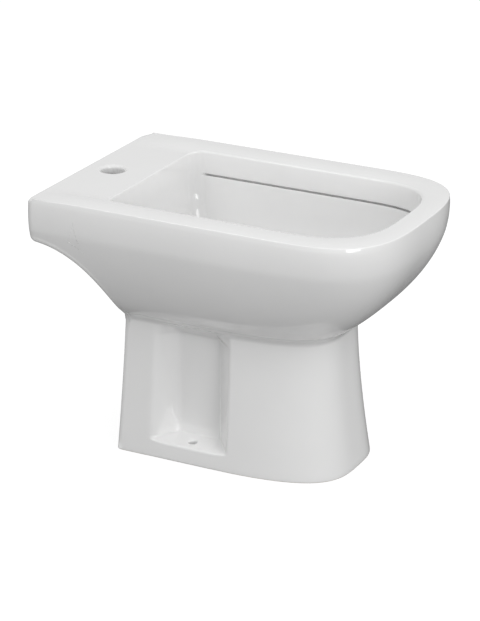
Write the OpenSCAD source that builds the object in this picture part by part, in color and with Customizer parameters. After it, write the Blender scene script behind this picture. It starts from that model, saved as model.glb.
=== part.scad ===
/* [Overall size] */
// Width over the rim
body_w = 362; // [350:1:380]
// Length from the wall face of the tap deck to the nose
body_l = 535; // [520:1:570]
// Height of the rim's crest above the floor
body_h = 390; // [380:1:420]

/* [Rim and tap deck] */
// Length of the curved nose, in front of the straight sides
nose_run = 167; // [150:1:185]
// Squareness of the nose and of the pedestal, 2 is an ellipse
nose_square = 3.35; // [2.8:0.05:4.5]
// Width of the rim band along the sides
rim_side = 52; // [46:1:58]
// Width of the rim band at the nose
rim_nose = 36; // [34:1:46]
// How far in the rolled outer edge of the rim reaches
roll_in = 28; // [24:1:32]
// How far down the rolled outer edge of the rim reaches
roll_drop = 2.5; // [2:0.5:4]
// How much narrower the rim is at its outer edge than at its widest, on each side
side_lean = 8; // [6:0.5:10]
// Height over which the side leans out below the rolled edge
lean_h = 48; // [40:1:54]
// Fall of the rim from its crest to its inner edge
rim_fall = 3.4; // [2:0.2:4.6]
// Drop of the flat tap deck below the crest
deck_drop = 5.7; // [5:0.1:7]
// Depth of the tap deck, from the wall face to the basin
deck_depth = 103; // [95:1:115]
// Thickness of the tap deck under the tap
deck_t = 13.3; // [10:0.1:16]
// Corner radius of the deck in plan
deck_corner = 16; // [12:1:20]
// Rounding of the wall edge of the deck
deck_edge = 3; // [2:0.5:5]
// Height of the back apron, below the crest
apron_h = 67.5; // [64:0.5:80]
// Thickness of the back apron
apron_t = 12; // [10:0.5:15]
// Tap hole diameter
tap_hole_d = 35; // [32:0.5:38]
// Distance of the tap hole's centre from the wall face
tap_back = 41; // [36:1:46]

/* [Basin] */
// Radius of the basin's top edge
basin_edge = 4; // [3:0.5:6]
// Radius of the crisper top edge where the tap deck meets the basin
deck_front_edge = 2; // [1:0.5:3]
// Corner radius at the back of the basin
basin_corner = 20; // [14:1:24]
// Depth of the skirt's lower edge below the crest
skirt_h = 38; // [34:1:46]
// Thickness of the skirt that hangs inside the rim
skirt_t = 5; // [3.5:0.5:5.5]
// How far the basin wall is set back behind the skirt's face
basin_setback = 7.5; // [6.5:0.5:9]
// Height of the basin floor at the drain
drain_z = 232; // [228:1:240]
// Distance of the drain from the middle of the length, towards the wall
drain_y = 40; // [30:1:50]
// Drain hole diameter
drain_hole_d = 46; // [44.5:0.5:50]
// Depth of the seat for the waste's flange
seat_h = 5; // [4.6:0.2:6]
// Thickness of the boss under the drain, below the seat
boss_t = 21; // [16:1:26]

/* [Pedestal] */
// Height of the waist, where the bowl meets the pedestal
waist_z = 208; // [202:1:214]
// Width at the waist
waist_w = 192; // [186:1:204]
// Width at the floor
foot_w = 222; // [214:1:240]
// Setback of the pedestal's front below the nose, at the waist
waist_nose_back = 116.5; // [108:0.5:124]
// Setback of the pedestal's front below the nose, at the floor
foot_nose_back = 94.5; // [86:0.5:104]
// Length of the pedestal's curved front
pedestal_run = 214; // [200:1:226]
// Distance of the pedestal's back edge from the wall face, at the waist
waist_wall_back = 112.5; // [104:0.5:118]
// Distance of the pedestal's back edge from the wall face, at the floor
foot_wall_back = 105; // [98:0.5:110]
// Thickness of the cast walls
wall = 10; // [8.5:0.5:11]
// Small rounding round the foot
foot_edge = 2.5; // [1.5:0.5:4]

/* [Side niches and floor fixing] */
// Half distance between the flat backs of the two niches
niche_half = 71; // [66:1:74]
// Front edge of a niche, measured from the middle of the length
niche_front = -14; // [-20:1:-8]
// Length of a niche's sloping front wall
niche_slope = 28; // [24:1:32]
// Rear edge of a niche, measured from the middle of the length
niche_rear = 110; // [104:1:112]
// Length of a niche's soft rear wall
niche_sweep = 35; // [30:1:38]
// Height of a niche's sill above the floor
sill_z = 25; // [22:1:30]
// Rise of the sill from its outer edge to the niche's back
sill_rise = 5; // [4:0.5:6]
// Height of the head of a niche's flat back
niche_top = 184; // [178:1:188]
// Diameter of a floor fixing hole
fix_hole_d = 11; // [9:0.5:12]
// Half distance between the two fixing holes
fix_x = 90; // [87:1:92]
// Distance of the fixing holes from the middle of the length
fix_y = 48; // [40:1:54]

/* [Waste and its click plug] */
// Diameter of the waste's flange
flange_d = 63; // [60:0.5:64]
// Thickness of the waste's flange
flange_t = 2.5; // [2:0.1:2.9]
// Thickness of the flange's gasket
gasket_t = 2; // [1.5:0.1:2.4]
// Outer diameter of the waste's threaded tube
thread_d = 41.8; // [40:0.1:42.4]
// Bore of the waste's tube
waste_bore_d = 35; // [33:0.5:36]
// Length of the waste's tube below its flange
waste_l = 90; // [80:1:96]
// Diameter of the plug's cap
cap_d = 60; // [56:0.5:62]
// Thickness of the plug's cap at its rim
cap_t = 2.4; // [2:0.1:3]
// Height of the cap's crown above its rim
cap_crown = 3; // [2:0.1:4]
// Travel of the plug from raised to pressed down
plug_travel = 9; // [7:0.5:11]
// Thickness of the plug's seal
seal_t = 2.5; // [2:0.1:3]
// Diameter of the plunger's rod
rod_d = 7; // [6:0.2:7.6]
// Clearance round the plunger in its housing
rod_gap = 0.08; // [0.05:0.01:0.1]
// Diameter of the cartridge housing
housing_d = 12; // [11:0.2:13]
// Length of the cartridge housing below its head
housing_l = 30; // [26:1:34]
// Wire diameter of the return spring
wire_d = 1; // [0.8:0.1:1.2]
// Number of curls in the return spring
spring_turns = 6; // [5:1:7]

/* [Trap and outlet] */
// Outer diameter of the tailpiece and the outlet pipe
pipe_d = 32; // [30:0.5:33]
// Wall of the tailpiece and the outlet pipe
pipe_t = 1.5; // [1.2:0.1:2]
// Length of the tailpiece that shows between waste and trap
tail_gap = 10; // [6:1:14]
// Diameter of the bottle trap's body
trap_d = 62; // [58:1:66]
// Height of the bottle trap's body, with the thread inside its cup
trap_body_h = 52; // [51:1:56]
// Height of the trap's cup
trap_cup_h = 34; // [28:1:36]
// Distance of the outlet pipe's end from the wall face
outlet_back = 72; // [62:1:100]
// Wall of the trap's body and cup
trap_t = 2.5; // [2:0.1:3]

/* [Hidden] */

// Outlines and heights that follow from the sizes above
back_y = body_l / 2;
nose_y = -body_l / 2;
shoulder_y = nose_y + nose_run;
crest_z = body_h;
side_top_z = crest_z - roll_drop;
bulge_drop = 9.5;
bulge_z = crest_z - bulge_drop;
deck_z = crest_z - deck_drop;
under_z = deck_z - deck_t;
basin_w = body_w / 2 - rim_side;
basin_nose = nose_y + rim_nose;
basin_back = back_y - deck_depth;
skirt_z = crest_z - skirt_h;
bowl_drop = 2;
bowl_top_z = skirt_z - bowl_drop;
seat_z = drain_z - seat_h;
boss_z = seat_z - boss_t;
tap_y = back_y - tap_back;
apron_z = crest_z - apron_h;
waist_front = nose_y + waist_nose_back;
foot_front = nose_y + foot_nose_back;
pedestal_shoulder = waist_front + pedestal_run;
waist_back = back_y - waist_wall_back;
foot_back = back_y - foot_wall_back;

// Shape of the bowl's swelling side and nose between waist and rim, and of the flared foot
side_swell = [1.48, 1.51];
nose_swell = [2.1, 1.05];
foot_flare = 1.55;
// Rear arch under the tap deck: a quarter of an ellipse from the waist to the apron
arch_short = 0;
arch_drop = 114.5;
arch_y = back_y - arch_short;
arch_z = apron_z - arch_drop;
arch_len = arch_y - waist_back;
arch_rise = apron_z - arch_z;
// Rounding of the open back edges, and how much higher the apron's edge is than the arch's end
lip = 9;
apron_rise = 4;
arch_end = acos((arch_y - (back_y - deck_corner)) / (arch_len + lip));
arch_top_z = arch_z + (arch_rise + lip) * sin(arch_end);
niche_head = waist_z - niche_top;
niche_mid = (niche_front + niche_slope + niche_rear - niche_sweep) / 2;
// Cover of cast wall left round a niche, inside
niche_cover = wall + 2;
// Fullness of the bowl, 2 is an ellipse
bowl_power = 2.05;

function mix(a, b, t) = a + (b - a) * t;
function clamp(t) = min(1, max(0, t));
function ease(t) = let (c = clamp(t)) c * c * (3 - 2 * c);

// Share of the way from waist to rim that the surface has swollen out at a height
function swell(z, s) =
    let (h = clamp((z - waist_z) / (bulge_z - waist_z))) pow(1 - pow(1 - h, s[0]), 1 / s[1]);
function flare(z) = pow(clamp(1 - z / waist_z), foot_flare);
// How far the side leans back in towards the rolled edge, and the part of that the nose has
nose_lean = 0.35;
function lean(z) = side_lean * pow(clamp((z - side_top_z + lean_h) / lean_h), 1.2);
function half_w(z) = z > waist_z ? mix(waist_w / 2, body_w / 2, swell(z, side_swell)) - lean(z)
    : mix(waist_w / 2, foot_w / 2, flare(z));
function front_y(z) = z > waist_z ? mix(waist_front, nose_y, swell(z, nose_swell)) + nose_lean * lean(z)
    : mix(waist_front, foot_front, flare(z));
function run_y(z) = mix(pedestal_shoulder, shoulder_y, clamp((z - waist_z) / (bulge_z - waist_z)));
// Where the side wall stops at the back, a lip short of the open edge
function side_end(z) = z >= arch_top_z ? back_y - deck_corner
    : z > arch_z ? arch_y - (arch_len + lip) * sqrt(max(0, 1 - pow((z - arch_z) / (arch_rise + lip), 2)))
    : mix(waist_back, foot_back, 1 - z / arch_z) - lip;

// Fall of the top surface below the crest, by the distance from the outer side
crown_slope = 2 * rim_fall / (rim_side - roll_in);
crease = 2 * (deck_drop - rim_fall) / crown_slope;
roll_end = 3;
roll_a = (roll_in - side_lean) / cos(roll_end);
roll_b = roll_drop / (1 - sin(roll_end));
function crown(e) = e < roll_in ? roll_b * (1 - sqrt(max(0, 1 - pow((roll_in - e) / roll_a, 2))))
    : e < rim_side ? rim_fall * pow((e - roll_in) / (rim_side - roll_in), 2)
    : let (d = min(e - rim_side, crease)) rim_fall + crown_slope * d * (1 - d / (2 * crease));
// The same fall where the rim runs down to the deck's level: not at all at the basin, wholly at the wall edge
function low_crown(e) = deck_drop + (e < roll_in ? (roll_drop - deck_drop) * pow(crown(e) / roll_drop, 2) : 0);
function top_fall(e, y) = mix(crown(e), low_crown(e), pow(clamp((y - basin_back) / deck_depth), 2));

// Niche share, 0 on the plain side and 1 on the niche's flat back; grow widens it for the inner skin
function niche(y, z, grow) =
    clamp((y - niche_front + grow) / niche_slope)
    * ease((niche_rear + grow - y) / niche_sweep)
    * (grow > 0 ? 1 : clamp((z - sill_z) / sill_rise))
    * clamp((niche_top + niche_head + grow - z) / niche_head);

// Stations round half the plan, from the nose to the middle of the back.
// Each is [kind, share, end share, end height, run-out in y, run-out in z, square end].
front_steps = 9;
corner_steps = 3;
back_steps = 4;
side_ys = [shoulder_y, mix(shoulder_y, niche_front, 0.5), niche_front, niche_front + niche_slope,
    niche_mid, niche_rear - niche_sweep, niche_rear - niche_sweep / 2, niche_rear];
edge_steps = 4;
arch_steps = 8;
rear_steps = 2 + edge_steps + arch_steps;
function rear_station(k) =
    let (top = k / rear_steps, up = (k - 2) / edge_steps, a = arch_end * (k - 2 - edge_steps) / arch_steps)
    k == 1 ? [2, top, 0.5, foot_edge, 0, -foot_edge, 1]
    : k == 2 ? [2, top, 1, foot_edge, lip * 0.7, -foot_edge, 1]
    : up <= 1 ? [2, top, 1, mix(foot_edge, arch_z, up), lip, 0, 0]
    : [2, top, 1, arch_z + (arch_rise + lip) * sin(a), lip * cos(a), -lip * sin(a), 0];
half_stations = [
    for (k = [0:front_steps - 1]) [0, k / front_steps, 0, foot_edge, 0, -foot_edge, 1],
    for (y = side_ys) [1, y, 0, foot_edge, 0, -foot_edge, 1],
    for (k = [1:rear_steps]) rear_station(k),
    for (k = [1:corner_steps]) let (a = 90 * k / corner_steps)
        [3, k / corner_steps, 1, arch_top_z + apron_rise * (1 - cos(a)), 0, -lip, 0],
    for (k = [1:back_steps]) [4, k / back_steps, 1, arch_top_z + apron_rise, 0, -lip, 0]
];
halves = len(half_stations);
stations = [for (k = [0:halves - 1]) [1, half_stations[k]],
    for (k = [halves - 2:-1:1]) [-1, half_stations[k]]];
count = len(stations);

// Point of a plan outline at a station: a superellipse nose, a straight side, a corner, a flat back
function plan(s, w, nose, shoulder, back, r, share) =
    s[0] == 0 ? let (reach = acos(pow(clamp((shoulder - shoulder_y) / (shoulder - nose)), nose_square / 2)),
                     a = s[1] * reach)
        [w * pow(sin(a), 2 / nose_square), shoulder - (shoulder - nose) * pow(cos(a), 2 / nose_square)]
    : s[0] == 1 ? let (ahead = clamp((shoulder - s[1]) / (shoulder - nose)))
        [w * pow(1 - pow(ahead, nose_square), 1 / nose_square), s[1]]
    : s[0] == 2 ? [w, mix(niche_rear, back - r, share)]
    : s[0] == 3 ? [w - r + r * cos(90 * s[1]), back - r + r * sin(90 * s[1])]
    : [(w - r) * (1 - s[1]), back];

// Height at a station for a height on the plain side: the levels above the waist keep to the part
// above the waist or above the open edge, and those below the waist share what is left
edge_strip = 12;
function fit_z(s, z) =
    s[0] < 2 ? z
    : let (end = s[3], knee = max(waist_z, end + edge_strip))
        z >= waist_z ? mix(knee, under_z, (z - waist_z) / (under_z - waist_z))
        : mix(end, knee, (z - foot_edge) / (waist_z - foot_edge));
function fan_share(s, z, top) =
    let (h = (top - z) / (top - s[3]), start = side_end(top) - niche_rear, stop = side_end(s[3]) - niche_rear,
         straight = mix(s[1] * start, s[2] * stop, h) / (side_end(z) - niche_rear))
    mix(mix(s[1], s[2], h), straight, ease(2 * (s[3] - arch_z) / (arch_top_z - arch_z)));

// Rolled edge of the rim, and the casting's outer skin by the height on the plain side
corner_sink = 2;
function rim_back_fall(s, turn) =
    (s[0] == 3 ? s[1] * deck_edge + sin(180 * s[1]) * corner_sink : s[0] == 4 ? deck_edge : 0) * (1 - sin(turn));
function roll_point(s, turn) =
    let (inset = side_lean + roll_a * (cos(roll_end) - cos(turn)),
         back = back_y - deck_edge * (cos(roll_end) - cos(turn)),
         p = plan(s, body_w / 2 - inset, nose_y + inset - (1 - nose_lean) * side_lean, shoulder_y, back, deck_corner, s[1]),
         e = s[0] < 2 ? inset : body_w / 2 - p[0])
    [p[0], p[1], crest_z - top_fall(e, p[1]) - rim_back_fall(s, turn)];
function outer_at(s, z) =
    let (top = roll_point(s, roll_end)[2],
         p = plan(s, half_w(z), front_y(z), run_y(z), side_end(z) + deck_corner, deck_corner,
             fan_share(s, z, top)),
         n = s[0] == 1 ? niche(p[1], z, 0) : 0)
    [mix(p[0], min(p[0], niche_half), n), p[1], z];
function outer_point(s, plain_z) = outer_at(s, fit_z(s, plain_z));
// Inner skin, a wall's thickness inside, with a thicker wall at a height just above the waist
inner_corner = 4;
thick_share = 0.35;
thick_rise = 16;
thick_z = waist_z + thick_rise;
thick_reach = 40;
function skin_wall(z) = wall * (1 + thick_share * clamp(1 - abs(z - thick_z) / thick_reach));
function inner_point(s, plain_z) =
    let (z = fit_z(s, plain_z), t = skin_wall(z),
         back = min(side_end(z), back_y - apron_t - inner_corner) + inner_corner,
         p = plan(s, half_w(z) - t, front_y(z) + t, run_y(z), back, inner_corner, fan_share(s, z, under_z)),
         n = s[0] == 1 || s[0] == 2 ? niche(p[1], z, niche_cover) : 0)
    [mix(p[0], niche_half - wall, n), p[1], z];
function lip_point(s, turn) =
    let (share = (1 - cos(turn)) / 2, out = mix(1, sin(turn), 1 - s[6]),
         p = mix(outer_point(s, foot_edge), inner_point(s, foot_edge), share))
    [p[0], p[1] + s[4] * out, p[2] + s[5] * out];

// Basin: how much of the skirt there is at a station, less at the nose and none along the back wall
nose_share = 0.6;
basin_shoulder = shoulder_y + 4;
function skirt_share(s) =
    s[0] == 0 ? mix(nose_share, 1, ease(s[1])) : s[0] < 3 ? 1 : s[0] == 3 ? 1 - s[1] : 0;
function basin_plan(s, out) =
    plan(s, basin_w + out, basin_nose - out, basin_shoulder, basin_back + out, basin_corner + out, s[1]);
function rim_band(s) = mix(rim_nose, rim_side, s[0] == 1 ? 1 : ease(s[1]));
function edge_r(s) = mix(basin_edge, deck_front_edge, s[0] < 3 ? 0 : s[0] == 3 ? s[1] : 1);
function edge_fall(s) =
    let (p = basin_plan(s, edge_r(s)))
    top_fall(s[0] < 2 ? rim_band(s) - edge_r(s) : body_w / 2 - p[0], p[1]);
function edge_point(s, turn) =
    let (p = basin_plan(s, edge_r(s) * (1 - cos(turn))))
    [p[0], p[1], crest_z - edge_fall(s) - edge_r(s) * (1 - sin(turn))];
function band_point(s, share) =
    let (a = edge_point(s, 90), b = roll_point(s, 90), p = mix(a, b, share),
         e = s[0] < 2 ? mix(rim_band(s) - edge_r(s), roll_in, share) : body_w / 2 - p[0])
    [p[0], p[1], crest_z - top_fall(e, p[1])];
// The skirt's lower edge, the channel behind it and the top of the basin wall, as [setback, height]
channel_h = 6;
channel_z = skirt_z + channel_h;
skirt_path = [
    [0, skirt_z + skirt_t / 2], [0.15 * skirt_t, skirt_z + 0.15 * skirt_t], [skirt_t / 2, skirt_z],
    [0.85 * skirt_t, skirt_z + 0.15 * skirt_t], [skirt_t, skirt_z + skirt_t / 2],
    [skirt_t, channel_z - 1], [basin_setback, channel_z]
];
skirt_rings = len(skirt_path);
function skirt_point(s, k) =
    let (g = skirt_share(s), p = basin_plan(s, skirt_path[k][0] * g),
         plain = mix(under_z, bowl_top_z, (k + 1) / (skirt_rings + 1)))
    [p[0], p[1], mix(plain, skirt_path[k][1], s[0] == 0 ? 1 : g)];
// Bowl, from the basin wall down and in to a round at the drain; out thickens it to its outer side
nose_wall_share = 0.8;
function basin_wall_share(s) = s[0] == 0 ? mix(nose_wall_share, 1, ease(s[1])) : 1;
seat_gap = 1;
seat_r = flange_d / 2 + seat_gap;
seat_reach = seat_r + 1;
boss_reach = seat_reach + wall;
function bearing(s) = let (p = basin_plan(s, 0)) atan2(p[0], drain_y - p[1]);
function bowl_point(s, turn, out) =
    let (g = skirt_share(s), p = basin_plan(s, basin_setback * g + out * basin_wall_share(s)),
         r = out > 0 ? boss_reach : seat_reach, a = bearing(s),
         q = [r * sin(a), drain_y - r * cos(a)],
         h = pow(cos(turn), 2 / bowl_power),
         top = bowl_top_z, low = drain_z - out)
    [mix(q[0], p[0], h), mix(q[1], p[1], h), mix(top, low, pow(sin(turn), 2 / bowl_power))];
function drain_point(s, r, z) = let (a = bearing(s)) [r * sin(a), drain_y - r * cos(a), z];

// Heights of the rings down the outer side and up the inner one
outer_shares = [1, 0.92, 0.8, 0.66, 0.505, 0.355, 0.235, 0.14, 0.075, 0.027, 0];
outer_heights = [
    for (h = outer_shares) mix(waist_z, under_z, h),
    niche_top, mix(sill_z, niche_top, 0.66), mix(sill_z, niche_top, 0.33),
    sill_z + sill_rise, sill_z, sill_z / 2, foot_edge];
inner_heights = [
    foot_edge, mix(0, niche_top, 0.33), mix(0, niche_top, 0.66), niche_top + niche_cover, waist_z,
    niche_top + niche_head + niche_cover + 4,
    for (h = [0.26, 0.45, 0.7, 1]) mix(waist_z, under_z, h)];
// The basin is drilled to its true drain hole from a smaller one
pilot_inset = 4;
drain_pilot = drain_hole_d / 2 - pilot_inset;
function ring(k) = [for (q = stations) let (p = k(q[1])) [q[0] * p[0], p[1], p[2]]];
// Level at which the three castings are luted: the deck's underside. On it lie the basin's face and the top
// of the hollow round the bowl, where the body's inside meets the bowl's underside
function joint_in(s) = let (p = basin_plan(s, 0)) [p[0], p[1], under_z];
function hollow_top(s) =
    let (p = basin_plan(s, basin_setback * skirt_share(s) + wall * basin_wall_share(s))) [p[0], p[1], under_z];
rim_rings = concat(
    [ring(function(s) joint_in(s))],
    [for (a = [0, 45]) ring(function(s) edge_point(s, a))],
    [for (t = [0, 0.33, 0.67]) ring(function(s) band_point(s, t))],
    [for (a = [90, 50, 26, roll_end]) ring(function(s) roll_point(s, a))],
    [for (h = [0.4, 1]) ring(function(s) outer_at(s, mix(roll_point(s, roll_end)[2], under_z, h)))],
    [ring(function(s) inner_point(s, under_z))],
    [ring(function(s) hollow_top(s))]
);
basin_rings = concat(
    [ring(function(s) drain_point(s, drain_pilot, drain_z))],
    [for (a = [90, 72, 54, 38, 22, 8]) ring(function(s) bowl_point(s, a, 0))],
    [for (k = [skirt_rings - 1:-1:0]) ring(function(s) skirt_point(s, k))],
    [ring(function(s) joint_in(s))],
    [ring(function(s) hollow_top(s))],
    [for (a = [8, 24, 42, 60, 78, 90]) ring(function(s) bowl_point(s, a, wall))],
    [ring(function(s) drain_point(s, boss_reach, boss_z))],
    [ring(function(s) drain_point(s, drain_pilot, boss_z))]
);
shell_rings = concat(
    [for (z = outer_heights) ring(function(s) outer_point(s, z))],
    [for (a = [45, 90, 135]) ring(function(s) lip_point(s, a))],
    [for (z = inner_heights) ring(function(s) inner_point(s, z))]
);

// Closed ring-by-ring mesh whose last ring joins its first
module ring_mesh(rings, n) {
    rows = len(rings);
    polyhedron(
        points = [for (r = rings) each r],
        faces = [for (j = [0:rows - 1], i = [0:n - 1])
            let (k = (j + 1) % rows, m = (i + 1) % n)
            each [[j * n + i, j * n + m, k * n + m], [j * n + i, k * n + m, k * n + i]]],
        convexity = 12);
}

// Depth of a drill or cutter, and how far it starts below the face that it goes into
drill = 60;
drill_in = 20;
fix_drill_in = 10;
// The casting: three slip-cast pieces luted together while damp, then glazed and fired as one
module rim_and_deck() {
    color("white") difference() {
        ring_mesh(rim_rings, count);
        translate([0, tap_y, under_z - drill_in]) cylinder(d = tap_hole_d, h = drill, $fn = 72);
    }
}
module basin() {
    color("white") difference() {
        ring_mesh(basin_rings, count);
        translate([0, drain_y, boss_z - drill_in]) cylinder(d = drain_hole_d, h = drill, $fn = 72);
        translate([0, drain_y, seat_z]) cylinder(r = seat_r, h = drill_in, $fn = 72);
    }
}
module body_shell() {
    color("white") difference() {
        ring_mesh(shell_rings, count);
        for (side = [-1, 1])
            translate([side * fix_x, fix_y, -fix_drill_in]) cylinder(d = fix_hole_d, h = drill, $fn = 48);
    }
}

// Clearances between the fittings' faces and threads, how far a bore runs past a face and
// how far two parts of one piece run into each other
thread_gap = 0.08;
face_gap = 0.3;
past = 1;
into = 0.5;

// Waste: heights from its seat in the drain up and down
flange_z = seat_z + gasket_t;
flange_top = flange_z + flange_t;
waste_end = flange_z - waste_l;
cap_z = flange_top + face_gap + seal_t + plug_travel;
// Spider and cartridge
hub_drop = 9;
hub_h = 8;
hub_wall = 3;
arm_t = 3;
hub_top = flange_z - hub_drop;
hub_d = housing_d + 2 * hub_wall;
housing_head_d = housing_d + 4;
housing_head_t = 3;
housing_floor_t = 2;
housing_end = hub_top - housing_l;
// Plunger: its head under the cap, its lower end with room to be pressed
head_t = 1.5;
rod_room = 2;
rod_end = housing_end + housing_floor_t + plug_travel + rod_room;
// Spring: room round the rod, and its ends' room at the head and the cartridge
spring_gap = 0.7;
spring_end_gap = 0.2;
spring_foot = hub_top + housing_head_t + spring_end_gap;
spring_top = cap_z - head_t - spring_end_gap;
spring_r = rod_d / 2 + spring_gap + wire_d / 2;
// Gasket, washer and nut under the boss
cone_t = 6;
cone_nose_h = 4;
cone_gap = 0.3;
cone_taper = 1;
slip_t = 2;
nut_h = 12;
nut_face = 2;
back_nut_wall = 10;
back_nut_d = thread_d + 2 * back_nut_wall;
washer_d = back_nut_d - 1;
cone_z = boss_z - cone_t;
slip_z = cone_z - slip_t;
back_nut_z = slip_z - nut_h;

module at_drain(z) translate([0, drain_y, z]) children();
module tube(d, bore, h) difference() {
    cylinder(d = d, h = h, $fn = 72);
    translate([0, 0, -past]) cylinder(d = bore, h = h + 2 * past, $fn = 72);
}

module waste_body() {
    color("lightgray") at_drain(0) {
        difference() {
            union() {
                translate([0, 0, waste_end])
                    cylinder(d = thread_d, h = flange_z - waste_end + into, $fn = 72);
                translate([0, 0, flange_z]) cylinder(d = flange_d, h = flange_t, $fn = 72);
            }
            translate([0, 0, waste_end - past])
                cylinder(d = waste_bore_d, h = waste_l + flange_t + 2 * past, $fn = 72);
        }
        // Spider that carries the cartridge: a hub on three arms
        translate([0, 0, hub_top - hub_h]) difference() {
            union() {
                cylinder(d = hub_d, h = hub_h, $fn = 72);
                for (a = [0:120:240]) rotate(a) translate([hub_d / 2 - past, -arm_t / 2, 0])
                    cube([(waste_bore_d - hub_d) / 2 + past + into, arm_t, hub_h]);
            }
            translate([0, 0, -past]) cylinder(d = housing_d + 2 * thread_gap, h = hub_h + 2 * past, $fn = 72);
        }
    }
}
module top_gasket() {
    color("dimgray") at_drain(seat_z) tube(flange_d - 1, drain_hole_d, gasket_t);
}
// Cone gasket: a flat ring under the boss with a nose that centres the waste in the hole
module bottom_gasket() {
    nose_d = drain_hole_d - 2 * cone_gap;
    color("dimgray") at_drain(cone_z) difference() {
        union() {
            cylinder(d = back_nut_d, h = cone_t, $fn = 72);
            translate([0, 0, cone_t - into])
                cylinder(d1 = nose_d, d2 = nose_d - cone_taper, h = cone_nose_h + into, $fn = 72);
        }
        translate([0, 0, -past])
            cylinder(d = thread_d + 2 * thread_gap, h = cone_t + cone_nose_h + 2 * past, $fn = 72);
    }
}
module slip_washer() {
    color("whitesmoke") at_drain(slip_z) tube(washer_d, thread_d + 2 * thread_gap, slip_t);
}
module back_nut() {
    color("goldenrod") at_drain(back_nut_z) difference() {
        union() {
            cylinder(d = back_nut_d + 2, h = nut_h, $fn = 6);
            translate([0, 0, nut_h - nut_face]) cylinder(d = washer_d, h = nut_face, $fn = 72);
        }
        translate([0, 0, -past]) cylinder(d = thread_d + 2 * thread_gap, h = nut_h + 2 * past, $fn = 72);
    }
}
// The plug's cap: a thin disc with a slightly domed crown and a broken lower edge
dome_steps = 8;
cap_chamfer = 0.4;
module waste_plug() {
    r = cap_d / 2;
    dome_r = (r * r + cap_crown * cap_crown) / (2 * cap_crown);
    dome_z = cap_t + cap_crown - dome_r;
    color("lightgray") at_drain(cap_z) rotate_extrude($fn = 96)
        polygon([[0, 0], [r - cap_chamfer, 0], [r, cap_chamfer],
            for (k = [0:dome_steps]) let (x = r * (1 - k / dome_steps))
                [x, dome_z + sqrt(dome_r * dome_r - x * x)]]);
}
seal_inset = 2.5;
seal_width = 4;
module plug_seal() {
    outer = cap_d - 2 * seal_inset;
    color("dimgray") at_drain(cap_z - seal_t) tube(outer, outer - 2 * seal_width, seal_t);
}
module plunger() {
    color("gainsboro") at_drain(0) {
        translate([0, 0, rod_end]) cylinder(d = rod_d, h = cap_z - rod_end - head_t / 2, $fn = 48);
        translate([0, 0, cap_z - head_t]) cylinder(r = spring_r + wire_d, h = head_t, $fn = 48);
    }
}
module cartridge_housing() {
    color("white") at_drain(housing_end) difference() {
        union() {
            translate([0, 0, housing_l]) cylinder(d = housing_head_d, h = housing_head_t, $fn = 48);
            cylinder(d = housing_d, h = housing_l + into, $fn = 48);
        }
        translate([0, 0, housing_floor_t])
            cylinder(d = rod_d + 2 * rod_gap, h = housing_l + housing_head_t + past, $fn = 48);
    }
}

// Return spring: one unbroken wire, wound evenly between the cartridge and the plunger's head
spring_steps = 12;
spring_sides = 6;
spring_rows = spring_turns * spring_steps;
spring_pitch = (spring_top - spring_foot - wire_d) / spring_turns;
function spring_axis(k) = let (a = 360 * k / spring_steps)
    [spring_r * cos(a), spring_r * sin(a), spring_foot + wire_d / 2 + spring_pitch * k / spring_steps];
function spring_ring(k) = let (a = 360 * k / spring_steps, c = spring_axis(k))
    [for (i = [0:spring_sides - 1]) let (b = 360 * i / spring_sides, r = wire_d / 2 * cos(b))
        [c[0] + r * cos(a), c[1] + r * sin(a), c[2] + wire_d / 2 * sin(b)]];
echo(least_gap_between_curls = min([
    for (k = [0:spring_rows - spring_steps], m = [spring_steps - 2:min(spring_steps + 2, spring_rows - k)])
        norm(spring_axis(k + m) - spring_axis(k)) - wire_d]));
module return_spring() {
    n = spring_sides;
    color("silver") at_drain(0) polyhedron(
        points = [for (k = [0:spring_rows]) each spring_ring(k)],
        faces = concat(
            [[for (i = [0:n - 1]) i]],
            [for (j = [0:spring_rows - 1], i = [0:n - 1]) let (a = j * n, b = a + n, m = (i + 1) % n)
                each [[a + i, b + i, b + m], [a + i, b + m, a + m]]],
            [[for (i = [n - 1:-1:0]) spring_rows * n + i]]),
        convexity = 8);
}

// Tailpiece and bottle trap, from the waste's lower end down towards the floor
tail_washer_t = 2;
tail_flange_t = 2;
tail_flange_d = thread_d - 1;
nut_lip = 3;
nut_wall = 4.5;
nut_rib_d = 2.4;
pipe_gap = 0.1;
spigot_step = 0.2;
spigot_past = 0.5;
seal_h = 3;
seal_gap = 0.2;
tail_nut_h = 18;
tail_top = waste_end - tail_washer_t;
tail_nut_z = tail_top - tail_flange_t - nut_lip;
// The trap's threaded necks take a pipe, a seal and a union nut each
neck_wall = 4.5;
neck_d = pipe_d + 2 * neck_wall;
neck_nut_h = 14;
inlet_nut_z = tail_nut_z - tail_gap - neck_nut_h;
neck_top = inlet_nut_z + neck_nut_h - nut_lip - seal_h;
trap_top = inlet_nut_z - 2;
trap_bottom = trap_top - trap_body_h;
dip_end = trap_bottom + 6;
// The outlet stub leaves just under the trap's top; its pipe stands a socket deep in it
stub_l = 22;
socket_l = 16;
outlet_z = trap_top - neck_d / 2 - 1;
stub_end = drain_y + trap_d / 2 + stub_l;
pipe_start = stub_end - socket_l;
// Cup: screwed over the body's lower end, against a seal on its ledge
cup_overlap = 8;
cup_seal_t = 2;
cup_thread_wall = 3;
cup_rib_d = 3;
cup_foot_h = 4;
cup_foot_inset = 3;
cup_d = trap_d + 2 * cup_thread_wall;
cup_z = trap_bottom + cup_overlap - trap_cup_h;
cup_ledge = trap_cup_h - cup_overlap - cup_seal_t;

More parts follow.
